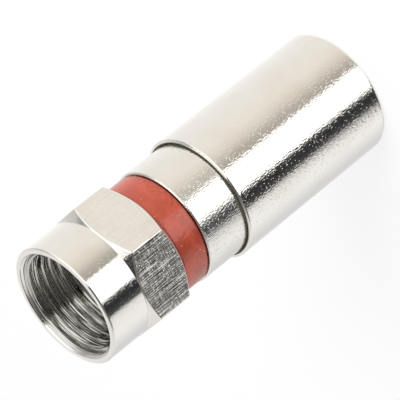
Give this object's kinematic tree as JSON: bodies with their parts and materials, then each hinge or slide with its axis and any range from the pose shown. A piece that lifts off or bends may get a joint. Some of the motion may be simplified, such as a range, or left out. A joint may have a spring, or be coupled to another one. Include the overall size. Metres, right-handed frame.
{
  "type": "f connector",
  "caption": "Compression coaxial connector: hex coupling nut with a round threaded nose, red marker ring, plated barrel and a sleeve that slides forward to grip the cable.",
  "frame": {"origin": "centre of the sleeve's rear face, on which the connector stands", "axes": "+Z along the connector's axis towards the nut's mouth; one corner of the nut's hexagon points along -Y"},
  "size_m": [0.0114, 0.0128, 0.0318],
  "materials": {
    "nickel_plate": "bright nickel plate on brass",
    "post_plate": "tin plate on brass",
    "marker_plastic": "moulded, orange red",
    "seal_rubber": "moulded, black",
    "ferrule_plastic": "moulded, natural white"
  },
  "bodies": {
    "body": {"connector_body": "nickel_plate", "inner_post": "post_plate", "nut_seal": "seal_rubber", "marker_ring": "marker_plastic", "sleeve_seal": "seal_rubber"},
    "nut": {"coupling_nut": "nickel_plate"},
    "sleeve": {"compression_sleeve": "nickel_plate", "grip_ferrule": "ferrule_plastic"}
  },
  "joints": [
    {"name": "nut_spin", "type": "hinge", "parent": "body", "child": "nut", "pos_m": [0, 0, 0.02475], "axis": [0, 0, 1], "continuous": true},
    {"name": "sleeve_slide", "type": "slide", "parent": "body", "child": "sleeve", "axis": [0, 0, 1], "range_m": [0, 0.004]}
  ]
}
